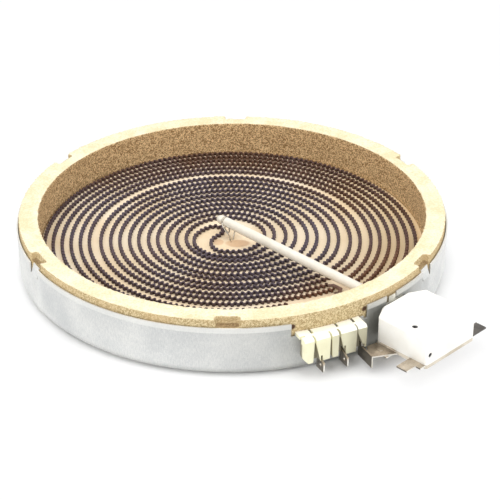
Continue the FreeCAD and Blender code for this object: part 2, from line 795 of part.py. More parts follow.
def make_link_strap():
    """Flat plate welded to the head's blade, a leg bent down, and a tail into the ring."""
    swing = block_azimuth - limiter_azimuth
    left = link_t - blade_thick / 2
    bend = [in_base_frame((n, left), swing) for n in (link_front, link_front - link_bend)]
    low, high = head_split - tab_thick, head_split
    plate = prism([*plate_near_head, *bend, plate_corner], low, high)
    weld = post(weld_radius, high - bite, high + weld_height, weld_s, weld_d)

    points = [(link_front, link_bottom), (link_front, high), (link_root, high), (link_root, tail_top)]
    points += [(tail_end, tail_top), (tail_end, tail_bottom), (blade_root, tail_bottom)]
    points += [(blade_root, link_bottom)]
    leg = profile_across(points, left, left + blade_thick)
    flat = turned(joined([plate, weld]), limiter_azimuth)
    return joined([flat, turned(leg, block_azimuth)])


# Leads between the blades' tails and the ribbon ends, in the block's frame

def ribbon_ends():
    """Where the four ribbon ends lie, seen in the block's frame."""
    swing = -block_azimuth
    inner, outer = inner_path(), outer_path()
    ends = (inner[0], inner[-1], outer[0], outer[-1])
    return [in_base_frame(point, swing) for point in ends]


def offset(point, by):
    return (point[0] + by[0], point[1] + by[1])


def make_lead_outer():
    a_end, b_end, far_end, near_end = ribbon_ends()
    low, high = inner_tail_top, inner_tail_top + lead_thick
    path = [far_end, (far_end[0] + outer_past, outer_blade_t), (tail_end + lead_lap, outer_blade_t)]
    across = (outer_blade_t - blade_thick / 2, outer_blade_t + blade_thick / 2)
    riser = box((tail_end, tail_end + lead_lap), across, (tail_top, high))
    return turned(joined([strip_along(path, lead_width, low, high), riser]), block_azimuth)


def make_lead_inner():
    a_end, b_end, far_end, near_end = ribbon_ends()
    path = [(tail_end + lead_lap, inner_blade_t), *inner_way]
    path += [offset(b_end, round_b), offset(b_end, past_b), offset(a_end, near_a), a_end]
    strap = strip_along(path, lead_width, inner_tail_top, inner_tail_top + lead_thick)
    return turned(strap, block_azimuth)


def make_lead_common():
    a_end, b_end, far_end, near_end = ribbon_ends()
    low, high = base_top, base_top + lead_thick
    trunk = [(tail_end - lead_width / 2, link_t), *common_way]
    to_inner = [trunk[-1], offset(b_end, before_b), offset(b_end, beside_b)]
    to_outer = [trunk[-1], common_bend, offset(near_end, near_lap)]
    runs = [strip_along(run, lead_width, low, high) for run in (trunk, to_inner, to_outer)]
    across = (link_t - tab_thick / 2, link_t + tab_thick / 2)
    riser = box((tail_end - lead_thick, tail_end), across, (low, tail_top))
    return turned(joined(runs + [riser]), block_azimuth)


os.makedirs("parts", exist_ok=True)

export(make_pan(), "pan")
export(make_base(), "insulation_base")
export(make_ring(), "insulation_ring")
export(make_ribbon(inner_path()), "heating_ribbon_inner")
export(make_ribbon(outer_path()), "heating_ribbon_outer")
export(make_lead_outer(), "lead_outer")
export(make_lead_inner(), "lead_inner")
export(make_lead_common(), "lead_common")

outer_blade = make_blade(outer_blade_t, outer_blade_front, tail_top)
inner_blade = make_blade(inner_blade_t, inner_blade_front, inner_tail_top)
export(turned(make_block(), block_azimuth), "terminal_block")
export(turned(outer_blade, block_azimuth), "blade_terminal_outer")
export(turned(inner_blade, block_azimuth), "blade_terminal_inner")
export(make_link_strap(), "link_strap")

along_limiter = {
    "limiter_tube": make_tube(),
    "limiter_rod": bar(rod_radius, rod_from, rod_to),
    "rod_end_cap": make_end_cap(),
    "wire_clip": make_clip(),
    "head_bracket": make_bracket(),
    "head_base": make_head_base(),
    "head_cover": make_head_cover(),
    "head_screws": make_head_screws(),
    "main_tab_line": make_line_tab(),
    "main_tab_link": make_link_tab(),
    "signal_tab_outer": make_signal_tab(),
    "signal_tab_inner": head_tab("signal_tab_inner"),
    "main_contact_spring": make_main_spring(),
    "signal_contact_spring": make_signal_spring(),
    "push_pin": make_push_pin(),
}
for node, shape in along_limiter.items():
    export(turned(shape, limiter_azimuth), node)
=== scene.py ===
# %% [markdown]
# # Dressing a radiant heating element
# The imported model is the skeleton: every solid is already in its place, in metres, with +Z up.
# This script adds what the solids leave out (the corrugations of the heating ribbons, the grain
# of the insulation, soft edges) and gives every piece a finish made of shader nodes.

# %% Load the frame
import json
import math

import bmesh
import bpy
from mathutils import Matrix, Vector


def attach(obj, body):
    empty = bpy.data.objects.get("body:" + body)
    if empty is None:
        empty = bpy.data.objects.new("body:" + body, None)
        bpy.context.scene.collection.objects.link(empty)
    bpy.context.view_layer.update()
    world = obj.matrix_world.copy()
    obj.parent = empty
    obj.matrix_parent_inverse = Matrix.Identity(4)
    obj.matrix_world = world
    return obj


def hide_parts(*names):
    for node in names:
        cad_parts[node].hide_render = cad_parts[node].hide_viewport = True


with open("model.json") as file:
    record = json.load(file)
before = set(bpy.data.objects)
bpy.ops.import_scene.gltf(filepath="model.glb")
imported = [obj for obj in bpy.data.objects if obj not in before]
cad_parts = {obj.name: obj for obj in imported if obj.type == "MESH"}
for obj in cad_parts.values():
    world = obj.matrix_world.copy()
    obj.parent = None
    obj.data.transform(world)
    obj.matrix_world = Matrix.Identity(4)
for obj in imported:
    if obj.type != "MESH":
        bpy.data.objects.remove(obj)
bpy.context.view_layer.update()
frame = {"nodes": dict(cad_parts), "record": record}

scene = bpy.context.scene
nodes = frame["nodes"]
MM = 0.001
LIMITER = math.radians(-46.1)       # direction of the limiter tube
LIMITER_WAY = (math.cos(LIMITER), math.sin(LIMITER), 0.0)
TUBE_HEIGHT = 20.0
BLOCK = math.radians(-64.6)         # direction of the terminal block
BLOCK_WAY = (math.cos(BLOCK), math.sin(BLOCK), 0.0)
BED_TOP = 11.8

# %% [markdown]
# ## Shader maths as Python
# A pattern is mostly arithmetic: a mask times a colour, a height band, a noise bent by another
# noise. Placing each Math node by hand hides the formula, so a small class wraps a socket and
# lets `1 - mask * 0.5` add its nodes. Anything that isn't plain maths comes from `node`.

# %% Sockets that can be added and multiplied
class Signal:
    """A number that varies over a surface, written as an expression."""

    def __init__(self, finish, socket):
        self.finish = finish
        self.socket = socket

    def _math(self, operation, first, second=None):
        inputs = {0: first} if second is None else {0: first, 1: second}
        return self.finish.node("ShaderNodeMath", {"operation": operation}, inputs)

    def __add__(self, other):
        return self._math("ADD", self, other)

    def __sub__(self, other):
        return self._math("SUBTRACT", self, other)

    def __rsub__(self, other):
        return self._math("SUBTRACT", other, self)

    def __mul__(self, other):
        return self._math("MULTIPLY", self, other)

    def __truediv__(self, other):
        return self._math("DIVIDE", self, other)

    __radd__ = __add__
    __rmul__ = __mul__

    def lowest(self, other):
        return self._math("MINIMUM", self, other)

    def highest(self, other):
        return self._math("MAXIMUM", self, other)

    def between(self, start, end):
        """0 at start, 1 at end, smooth and held beyond both."""
        values = {"Value": self, "From Min": start, "From Max": end}
        return self.finish.node("ShaderNodeMapRange", {"interpolation_type": "SMOOTHSTEP"}, values)


class Finish:
    """A material under construction, with its Principled shader and a few shortcuts."""

    def __init__(self, name):
        self.material = bpy.data.materials.new(name)
        self.material.use_nodes = True
        self.tree = self.material.node_tree
        self.shader = self.tree.nodes["Principled BSDF"]
        self.place = self.node("ShaderNodeTexCoord", output="Object")

    def node(self, kind, settings=None, inputs=None, output=0):
        """Add a node: settings first, then values or links for its sockets."""
        added = self.tree.nodes.new(kind)
        for key, value in (settings or {}).items():
            if key == "stops":
                self._set_stops(added.color_ramp, value)
            else:
                setattr(added, key, value)
        for key, value in (inputs or {}).items():
            self._feed(added.inputs[key], value)
        return Signal(self, added.outputs[output])

    def _feed(self, socket, value):
        if isinstance(value, Signal):
            self.tree.links.new(value.socket, socket)
        else:
            socket.default_value = value

    def _set_stops(self, ramp, stops):
        while len(ramp.elements) < len(stops):
            ramp.elements.new(0.5)
        for element, (position, colour) in zip(ramp.elements, stops):
            element.position = position
            element.color = (*colour, 1)

    def set(self, **values):
        """Feed the Principled shader: Base_Color=..., Roughness=... and so on."""
        for key, value in values.items():
            self._feed(self.shader.inputs[key.replace("_", " ")], value)

    def noise(self, scale, detail=2.0, roughness=0.5, at=None):
        inputs = {"Vector": at or self.place, "Scale": scale, "Detail": detail, "Roughness": roughness}
        return self.node("ShaderNodeTexNoise", None, inputs)

    def cells(self, scale, at=None, feature="F1", output="Distance"):
        inputs = {"Vector": at or self.place, "Scale": scale}
        return self.node("ShaderNodeTexVoronoi", {"feature": feature}, inputs, output)

    def axes(self):
        """The three Object coordinates as separate numbers."""
        split = self.node("ShaderNodeSeparateXYZ", None, {0: self.place})
        outputs = split.socket.node.outputs
        return [Signal(self, socket) for socket in outputs]

    def facing_up(self):
        geometry = self.node("ShaderNodeNewGeometry", output="Normal")
        split = self.node("ShaderNodeSeparateXYZ", None, {0: geometry}, 2)
        return split

    def vector(self, x, y, z):
        return self.node("ShaderNodeCombineXYZ", None, {0: x, 1: y, 2: z})

    def blend(self, amount, low, high):
        """Colour mix: low where amount is 0, high where it is 1."""
        mix = self.tree.nodes.new("ShaderNodeMix")
        mix.data_type = "RGBA"
        self._feed(mix.inputs["Factor"], amount)
        for name, colour in (("A", low), ("B", high)):
            socket = [s for s in mix.inputs if s.name == name and s.type == "RGBA"][0]
            self._feed(socket, colour if isinstance(colour, Signal) else (*colour, 1))
        result = [s for s in mix.outputs if s.type == "RGBA"][0]
        return Signal(self, result)

    def bump(self, height, distance, strength=1.0):
        """Raise the surface by height, in units of distance metres."""
        inputs = {"Height": height, "Distance": distance, "Strength": strength}
        self.set(Normal=self.node("ShaderNodeBump", None, inputs))


def srgb(red, green, blue):
    """A colour written as 0 to 255 values, turned to the linear values that shaders use."""
    values = [v / 255 for v in (red, green, blue)]
    return tuple(v / 12.92 if v <= 0.04045 else ((v + 0.055) / 1.055) ** 2.4 for v in values)


# %% [markdown]
# ## Sheet steel of the pan
# The pan is deep drawn from aluminised sheet. Drawing drags the metal up the wall, which leaves
# faint upright streaks, and stacking the pans leaves small scratches. The streaks are a noise on
# cylinder coordinates: fine round the pan, long up the wall. The rolled band at the rim gets a
# painted highlight, and the foot and the wall beside the terminal block and the limiter head get
# painted shade. Metallic stays below one, because the coating is dull and chalky.

# %% Pan steel
def pan_steel():
    finish = Finish("pan_steel")
    x, y, z = finish.axes()
    around = finish.node("ShaderNodeMath", {"operation": "ARCTAN2"}, {0: y, 1: x})
    wall = finish.vector(around * 0.115, z * 0.3, 0.0)
    streaks = finish.noise(1500, 3, 0.6, at=wall)
    broad = finish.noise(42, 3, 0.55)
    grain = finish.noise(2600, 2, 0.6)
    slanted = finish.vector(around * 0.115 + z * 0.4, z * 3.0 - around * 0.03, 0.0)
    lines = finish.cells(150, at=slanted, feature="DISTANCE_TO_EDGE")
    scratch = (1 - lines.between(0.0, 0.010)) * finish.noise(60).between(0.58, 0.72)
    # painted highlight: a band just under the rim is made lighter
    highlight_band = z.between(24.3 * MM, 25.4 * MM)
    tone = streaks * 0.3 + broad * 0.4 + grain * 0.3
    dull = finish.blend(tone.between(0.35, 0.65), srgb(200, 202, 202), srgb(230, 230, 227))
    # painted shade: the wall beside and between the terminal block and the limiter head, and the foot, are darkened
    block_shade = around.between(-1.9, -1.15) * (1 - around.between(-0.72, -0.5))
    between = around.between(-1.0, -0.94) * (1 - around.between(-0.78, -0.7))
    foot = 1 - z.between(0.5 * MM, 6.0 * MM)
    shaded_wall = finish.blend(block_shade * 0.3 + between * 0.36 + foot * 0.3, dull, srgb(120, 120, 112))
    rim_highlight = finish.blend(highlight_band * 0.5, shaded_wall, srgb(228, 227, 222))
    finish.set(Base_Color=finish.blend(scratch * 0.5, rim_highlight, srgb(236, 236, 234)))
    finish.set(Metallic=0.5, Roughness=0.62 - highlight_band * 0.1 - scratch * 0.15 + broad * 0.08)
    finish.bump(streaks * 0.15 + grain * 0.3 - scratch * 0.6, 0.00005)
    return finish.material


def plain_steel(name, light, dark, roughness=0.38, metallic=0.9):
    """Small steel parts: a rolled grain with a little tarnish in patches."""
    finish = Finish(name)
    stretched = finish.node("ShaderNodeMapping", None, {"Vector": finish.place, "Scale": (1.0, 1.0, 5.0)})
    grain = finish.noise(1400, 2, 0.6, at=stretched)
    patches = finish.noise(160, 3, 0.55)
    finish.set(Base_Color=finish.blend((patches * 0.7 + grain * 0.3).between(0.35, 0.65), dark, light))
    finish.set(Metallic=metallic, Roughness=patches * 0.2 + (roughness - 0.1))
    finish.bump(grain, 0.00003)
    return finish.material


def nickel(name, light, dark, upright, edge_highlight):
    """Nickelled strip: taupe where it lies flat, painted shade where it stands, a painted highlight on faces turned out
    from the block.
    """
    finish = Finish(name)
    stretched = finish.node("ShaderNodeMapping", None, {"Vector": finish.place, "Scale": (1.0, 1.0, 5.0)})
    grain = finish.noise(1400, 2, 0.6, at=stretched)
    patches = finish.noise(160, 3, 0.55)
    flat = finish.blend((patches * 0.7 + grain * 0.3).between(0.35, 0.65), dark, light)
    # painted shade: upright faces get the darker upright colour
    standing_shade = 1 - finish.facing_up().between(0.2, 0.7)
    body = finish.blend(standing_shade * 0.85, flat, upright)
    # painted highlight: faces turned out from the terminal block get the bright edge colour
    facing = finish.node("ShaderNodeNewGeometry", output="Normal")
    outwards = finish.node("ShaderNodeVectorMath", {"operation": "DOT_PRODUCT"}, {0: facing, 1: BLOCK_WAY}, 1)
    finish.set(Base_Color=finish.blend(outwards.between(0.8, 0.95), body, edge_highlight))
    finish.set(Metallic=0.6, Roughness=patches * 0.2 + 0.3)
    finish.bump(grain, 0.00003)
    return finish.material


# %% [markdown]
# ## Pressed insulation
# The bed is microporous powder pressed to a smooth cake: warm cream, almost without grain. The
# ring is vermiculite, mica flakes in a binder. Its top was pressed against a plate and is pale
# with small specks, while the inner wall and the notch floors show the flakes in tan and brown.
# One material does both, because the height and the way a face looks tell the two apart. Near
# the hairpin two ovals on the bed are painted shade, as in a shallow hollow, and towards the right
# it is more tan. The ring has two small darker spots at both ends of the gap in the pan wall,
# where the terminal block hangs.

# %% Insulation finishes
def oval(finish, x, y, centre, radii, edge=0.35):
    """1 inside an upright oval given in millimetres, fading to 0 across its edge."""
    east = (x - centre[0] * MM) / (radii[0] * MM)
    north = (y - centre[1] * MM) / (radii[1] * MM)
    return (east * east + north * north).between(1 + edge, 1 - edge)


def bed_insulation():
    finish = Finish("pressed_insulation")
    cloud = finish.noise(45, 3, 0.5)
    fine = finish.noise(1500, 3, 0.65)
    specks = finish.cells(700).between(0.42, 0.16) * finish.noise(240).between(0.5, 0.68)
    x, y = finish.axes()[:2]
    cream = finish.blend(cloud.between(0.3, 0.7), srgb(238, 214, 178), srgb(248, 230, 202))
    warm = finish.blend(specks * 0.3, cream, srgb(206, 172, 128))
    # painted shade: two ovals near the hairpin are darkened as a shallow hollow would be
    painted_hollow_shade = oval(finish, x, y, (3.0, -5.6), (6.5, 3.4)).highest(oval(finish, x, y, (-7.4, -4.4), (2.8, 3.2)))
    hollow_shade_tone = finish.blend(cloud.between(0.35, 0.65), srgb(226, 190, 150), srgb(206, 166, 132))
    tanned = finish.blend(x.between(0.03, 0.09) * 0.7, warm, srgb(242, 214, 168))
    finish.set(Base_Color=finish.blend(painted_hollow_shade * 0.8, tanned, hollow_shade_tone))
    finish.set(Roughness=0.92)
    finish.bump(fine * 0.7 + specks * 0.3, 0.00012)
    return finish.material


def ring_insulation():
    finish = Finish("ring_insulation")
    x, y, z = finish.axes()
    flakes = finish.cells(1900, output="Color")
    tint = finish.node("ShaderNodeSeparateColor", None, {0: flakes})
    grains = finish.cells(1300)
    fine = finish.noise(2400, 3, 0.7)
    clouds = finish.noise(60, 3, 0.55)
    radius = finish.node("ShaderNodeVectorMath", {"operation": "LENGTH"}, {0: finish.vector(x, y, 0.0)}, 1)
    inside = 1 - radius.between(103.6 * MM, 104.4 * MM)
    up = finish.facing_up()
    top = up.between(0.5, 0.85) * z.between(29.8 * MM, 30.8 * MM)
    shelf = up.between(0.5, 0.85) * (1 - z.between(28.2 * MM, 29.4 * MM))

    tan = finish.blend(tint.between(0.1, 0.9), srgb(170, 146, 102), srgb(224, 206, 164))
    gold = finish.blend(tint.between(0.1, 0.9), srgb(142, 108, 66), srgb(236, 202, 152))
    clouded = finish.blend(clouds.between(0.3, 0.7) * 0.5, tan, srgb(206, 178, 132))
    side = finish.blend(inside, clouded, gold)
    grit = finish.noise(900, 2, 0.7)
    mottle = clouds * 0.5 + grit * 0.5
    pale = finish.blend(mottle.between(0.38, 0.62), srgb(232, 218, 176), srgb(249, 241, 212))
    specks = tint.between(0.82, 1.0) * 0.3 + fine.between(0.58, 0.78) * 0.2
    face = finish.blend(specks, pale, srgb(214, 186, 116))
    floor = finish.blend(tint, srgb(106, 84, 54), srgb(152, 126, 88))
    outer = finish.blend(top, side, face)
    # two small darker spots on the ring at both ends of the gap in the pan wall
    across = y * BLOCK_WAY[0] - x * BLOCK_WAY[1]
    low = (z - 25.4 * MM) * (z - 25.4 * MM)
    near = x * BLOCK_WAY[0] + y * BLOCK_WAY[1]
    first, last = across + 21.4 * MM, across - 17.2 * MM
    corners = (first * first + low).lowest(last * last + low)
    block_end_dark = corners.between(3.2e-6, 0.6e-6) * near.between(0.08, 0.1)
    block_end_darkened = finish.blend(block_end_dark, outer, srgb(84, 58, 40))
    finish.set(Base_Color=finish.blend(shelf * 0.85, block_end_darkened, floor))
    finish.set(Roughness=0.95)
    finish.bump(grains * 0.6 + fine * 0.5, 0.00025, 0.7)
    return finish.material


# %% [markdown]
# ## Heating alloy
# The ribbon runs red hot, so it wears a skin of oxide: purple-grey in the hotter middle, dark
# brown further out and rusty beside the terminals, where it stays cooler. It still shines softly
# along the crests, which is what makes the rows of corrugations read as beads. Distances from
# the middle and a slow noise move the colour from one to the other.

# %% Ribbon alloy
def ribbon_alloy():
    finish = Finish("ribbon_alloy")
    patches = finish.noise(22, 2, 0.5)
    skin = finish.noise(500, 3, 0.6)
    x, y = finish.axes()[:2]
    away = ((x + 0.02) * (x + 0.02) + y * y).between(0.0085, 0.0035)
    cool = (away * 0.7 + patches.between(0.38, 0.62) * 0.4).lowest(1.0)
    brown = finish.blend(skin.between(0.3, 0.7), srgb(74, 48, 36), srgb(104, 74, 56))
    purple = finish.blend(skin.between(0.3, 0.7), srgb(66, 55, 64), srgb(94, 83, 94))
    rust = finish.blend(skin.between(0.3, 0.7), srgb(94, 60, 42), srgb(124, 86, 62))
    oxide = finish.blend(cool.highest(0.0), brown, purple)
    by_block = (x - y).between(0.075, 0.115) * (1 - x.between(0.085, 0.1))
    finish.set(Base_Color=finish.blend(by_block, oxide, rust))
    finish.set(Metallic=0.3, Roughness=0.42 + skin * 0.2)
    finish.bump(skin, 0.00004)
    return finish.material


# %% [markdown]
# ## Ceramics
# Three of them: cream steatite for the terminal block, a dense white tube, and the white body of
# the limiter head. None is glazed, so they are dry and slightly uneven, with tiny pores. A mask
# made from Object coordinates paints shade into what lies deep: the gaps between the block's teeth
# and the two holes in the head's cover. It also paints shade on the block's faces that don't face
# up towards its right end, and the steatite's upward faces get a painted highlight.

# %% Ceramic finishes
def ceramic(name, base, shade, roughness, pores=1.0, shade_rule=None, top=None):
    finish = Finish(name)
    cloud = finish.noise(90, 3, 0.55)
    fine = finish.noise(2400, 2, 0.6)
    pits = finish.cells(1300).between(0.3, 0.1) * finish.noise(500).between(0.52, 0.7)
    tone = finish.blend(cloud.between(0.3, 0.75), base, shade)
    # painted highlight: faces turned up get the lighter top colour
    if top:
        tone = finish.blend(finish.facing_up().between(0.2, 0.8), tone, top)
    # painted shade: the rule's mask darkens gaps, holes and shaded faces
    if shade_rule:
        mask, colour = shade_rule(finish)
        tone = finish.blend(mask, tone, colour)
    finish.set(Base_Color=finish.blend(pits * 0.4 * pores, tone, tuple(c * 0.6 for c in shade)))
    finish.set(Roughness=roughness + fine * 0.12)
    finish.bump(fine * 0.3 - pits * pores, 0.00008)
    return finish.material


def shade_between_teeth(finish):
    """Painted shade in the deep gaps between the teeth of the terminal block, on the flanks in them and on the faces
    towards its right end.
    """
    x, y, z = finish.axes()
    outwards = x * BLOCK_WAY[0] + y * BLOCK_WAY[1]
    sideways = y * BLOCK_WAY[0] - x * BLOCK_WAY[1]
    facing = finish.node("ShaderNodeNewGeometry", output="Normal")
    left = finish.node("ShaderNodeVectorMath", {"operation": "DOT_PRODUCT"},
                       {0: facing, 1: (BLOCK_WAY[1], -BLOCK_WAY[0], 0.0)}, 1)
    # painted shade: the deep gaps and the flanks inside them are darkened
    deep = 1 - outwards.between(118.7 * MM, 119.6 * MM)
    flank = left.between(0.6, 0.9) * sideways.between(-16.0 * MM, -15.0 * MM)
    flank = flank * (1 - outwards.between(121.0 * MM, 122.0 * MM)) * z.between(8.0 * MM, 9.0 * MM)
    gap_shade = deep.highest(flank) * (1 - z.between(18.6 * MM, 19.8 * MM)) * 0.9
    # painted shade: faces that don't face up darken towards the block's right end
    teeth_front_shade = sideways.between(-6.5 * MM, -4.5 * MM) * 0.3 + sideways.between(1.0 * MM, 8.5 * MM) * 0.3
    teeth_front_shade = teeth_front_shade * (1 - finish.facing_up().between(0.1, 0.7))
    return gap_shade.highest(teeth_front_shade), srgb(132, 124, 106)


TOP_HOLE = (138.1, -12.4)           # along and across the tube's line
END_HOLE = (-15.5, 15.0)            # across that line, and height


def hole_shade(finish):
    """Painted shade inside the two holes in the head's cover."""
    x, y, z = finish.axes()
    s = x * LIMITER_WAY[0] + y * LIMITER_WAY[1]
    d = y * LIMITER_WAY[0] - x * LIMITER_WAY[1]
    top_s, top_d = s - TOP_HOLE[0] * MM, d - TOP_HOLE[1] * MM
    end_d, end_z = d - END_HOLE[0] * MM, z - END_HOLE[1] * MM
    # painted shade inside the top hole and the end hole
    top = (top_s * top_s + top_d * top_d).between(2.9e-6, 2.4e-6) * (1 - z.between(23.2 * MM, 23.7 * MM))
    end = (end_d * end_d + end_z * end_z).between(2.2e-6, 1.7e-6) * s.between(147.2 * MM, 147.6 * MM)
    return top.highest(end * (1 - s.between(150.0 * MM, 150.4 * MM))) * 0.95, srgb(44, 44, 56)


# %% All finishes by name
FINISHES = {
    "pan_steel": pan_steel(),
    "pressed_insulation": bed_insulation(),
    "ring_insulation": ring_insulation(),
    "ribbon_alloy": ribbon_alloy(),
    "nickel_strip": nickel("nickel_strip", srgb(196, 184, 166), srgb(156, 142, 124), srgb(98, 94, 88),
                           srgb(238, 236, 228)),
    "nickel_strap": nickel("nickel_strap", srgb(158, 144, 124), srgb(112, 98, 82), srgb(84, 80, 72),
                           srgb(226, 222, 212)),
    # painted shade: nickel_shaded is a darker copy of the nickel for the outer signal tab
    "nickel_shaded": nickel("nickel_shaded", srgb(104, 100, 94), srgb(78, 74, 70), srgb(60, 58, 56),
                            srgb(96, 92, 88)),
    # the steatite's last colour is a painted highlight on faces turned up
    "steatite": ceramic("steatite", srgb(244, 241, 208), srgb(232, 228, 192), 0.5, 1.0, shade_between_teeth,
                        srgb(252, 250, 236)),
    "tube_ceramic": ceramic("tube_ceramic", srgb(242, 236, 222), srgb(230, 223, 206), 0.42, 0.4),
    "rod_alloy": plain_steel("rod_alloy", srgb(200, 196, 186), srgb(150, 144, 132), 0.4),
    "clip_wire": plain_steel("clip_wire", srgb(214, 208, 196), srgb(158, 150, 136), 0.34, 0.4),
    "bracket_steel": plain_steel("bracket_steel", srgb(222, 221, 214), srgb(182, 180, 172), 0.34),
    "head_ceramic": ceramic("head_ceramic", srgb(252, 251, 246), srgb(244, 242, 235), 0.55, 0.6, hole_shade),
    "head_floor": ceramic("head_floor", srgb(226, 218, 202), srgb(196, 184, 164), 0.6, 0.8),
    "screw_steel": plain_steel("screw_steel", srgb(206, 206, 204), srgb(150, 150, 150), 0.3),
    "spring_strip": plain_steel("spring_strip", srgb(214, 176, 112), srgb(160, 120, 66), 0.32),
}
SLOT_OF = {part["node"]: part["material_slot"] for part in frame["record"]["subparts"]}
print("finishes:", ", ".join(sorted(FINISHES)))

# %% [markdown]
# ## Soft edges and smooth walls
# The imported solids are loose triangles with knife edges. A copy of each is welded, its flat faces
# are joined back into single polygons, and a narrow bevel rounds the edges, as tumbling and
# pressing do on the real parts. The copy then stands for the node, which stays hidden.

# %% Helpers for finished pieces
FINISH_OF = {
    "rod_end_cap": "tube_ceramic", "head_base": "head_floor",
    "signal_tab_outer": "nickel_shaded", "link_strap": "nickel_strap",
    "lead_inner": "ribbon_alloy", "lead_common": "ribbon_alloy",
}


def settle(piece, node):
    """Common last steps: a finish, a body to ride on, the node it stands for."""
    piece.data.materials.clear()
    piece.data.materials.append(FINISHES[FINISH_OF.get(node, SLOT_OF[node])])
    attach(piece, "root")
    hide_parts(node)
    return piece


def plain_mesh(piece):
    """Apply what the modifiers do, and take the modifiers off."""
    depsgraph = bpy.context.evaluated_depsgraph_get()
    finished = bpy.data.meshes.new_from_object(piece.evaluated_get(depsgraph))
    piece.modifiers.clear()
    piece.data = finished
    return piece


def new_piece(name, mesh):
    piece = bpy.data.objects.new(name, mesh)
    scene.collection.objects.link(piece)
    return piece


def welded_copy(node, name):
    """The node's shape as one closed mesh, with flat areas merged into single faces."""
    mesh = nodes[node].data.copy()
    work = bmesh.new()
    work.from_mesh(mesh)
    bmesh.ops.remove_doubles(work, verts=work.verts, dist=2e-6)
    bmesh.ops.dissolve_limit(work, angle_limit=math.radians(0.6), verts=work.verts, edges=work.edges)
    work.to_mesh(mesh)
    work.free()
    return new_piece(name, mesh)


def softened(node, bevel=0.0, smooth_under=32.0):
    """Welded copy of a node with narrow bevels and smooth walls."""
    piece = welded_copy(node, node + "_finished")
    if bevel:
        edge = piece.modifiers.new("edges", "BEVEL")
        edge.width = bevel * MM
        edge.segments = 2
        edge.limit_method = "ANGLE"
        edge.angle_limit = math.radians(40)
        edge.use_clamp_overlap = True
        plain_mesh(piece)
    for face in piece.data.polygons:
        face.use_smooth = True
    piece.data.set_sharp_from_angle(angle=math.radians(smooth_under))
    return settle(piece, node)


SOFTENED = {
    "pan": 0.0, "insulation_base": 0.0, "terminal_block": 0.35, "head_cover": 0.7, "head_base": 0.4,
    "link_strap": 0.12, "blade_terminal_outer": 0.12, "blade_terminal_inner": 0.12,
    "main_tab_line": 0.0, "main_tab_link": 0.12, "signal_tab_outer": 0.0, "signal_tab_inner": 0.12,
    "limiter_tube": 0.0, "rod_end_cap": 0.0, "head_bracket": 0.0,
    "lead_inner": 0.0, "lead_common": 0.0, "lead_outer": 0.0,
}
print("softened pieces:", len(SOFTENED))

# %% [markdown]
# ## Small corrections to the solids
# A closer look at the photograph asks for a few small changes of form: the end cap is fuller, the
# blades come out below the foot of their teeth, and the leads lie lower. Each is a rule that
# takes a point's old place and gives the new one, so the mesh stays closed.

# %% Rules that move points
FRONT_FROM, BLADE_FRONT_TOP = 121, 9.1
CAP_GROWTH, LEAD_SHARE = 1.1, 0.3


def reshape(piece, rule):
    """Move each point of a piece by a rule from old place to new place."""
    for point in piece.data.vertices:
        point.co = rule(point.co.copy())


def under_teeth(place):
    """The front corner of a blade starts below the foot of its tooth."""
    if place.dot(Vector(BLOCK_WAY)) > FRONT_FROM * MM and place.z > BLADE_FRONT_TOP * MM:
        place.z = BLADE_FRONT_TOP * MM
    return place


def fuller_cap(place):
    """The cap is a little thicker than the rod's hook needs."""
    along = Vector(LIMITER_WAY)
    axis = Vector((0, 0, TUBE_HEIGHT * MM)) + along * place.dot(along)
    return axis + (place - axis) * CAP_GROWTH


def pressed_down(place):
    """Above the bed the leads are only a low strip."""
    if place.z > BED_TOP * MM:
        place.z = BED_TOP * MM + (place.z - BED_TOP * MM) * LEAD_SHARE
    return place


RESHAPED = {
    "blade_terminal_outer": under_teeth, "blade_terminal_inner": under_teeth, "rod_end_cap": fuller_cap,
    "lead_inner": pressed_down, "lead_common": pressed_down, "lead_outer": pressed_down,
}
for node, bevel in SOFTENED.items():
    piece = softened(node, bevel)
    if node in RESHAPED:
        reshape(piece, RESHAPED[node])
    print(f"{piece.name}: {len(piece.data.polygons)} faces")

# %% [markdown]
# ## The insulation ring
# Vermiculite board crumbles at its edges and is rough all over, so a sharp turned ring looks
# wrong in outline as well as in shading. The ring is rebuilt from small even cells (a voxel
# remesh), which rounds its edges a little, and then each point is moved along its normal by a
# noise. Geometry Nodes do the moving, so that the depth of the roughness is one named input.

# %% Rough the ring
def input_socket(tree, name, kind, value):
    socket = tree.interface.new_socket(name, in_out="INPUT", socket_type=kind)
    if kind != "NodeSocketMaterial":
        socket.default_value = value
    return socket.identifier


def run_tree(piece, tree, values):
    """Put a node tree on a piece, set its inputs by identifier and keep the result as a mesh."""
    modifier = piece.modifiers.new("rule", "NODES")
    modifier.node_group = tree
    for identifier, value in values.items():
        modifier[identifier] = value
    return plain_mesh(piece)


def start_tree(name):
    tree = bpy.data.node_groups.new(name, "GeometryNodeTree")
    tree.interface.new_socket("Geometry", in_out="INPUT", socket_type="NodeSocketGeometry")
    tree.interface.new_socket("Geometry", in_out="OUTPUT", socket_type="NodeSocketGeometry")
    return tree


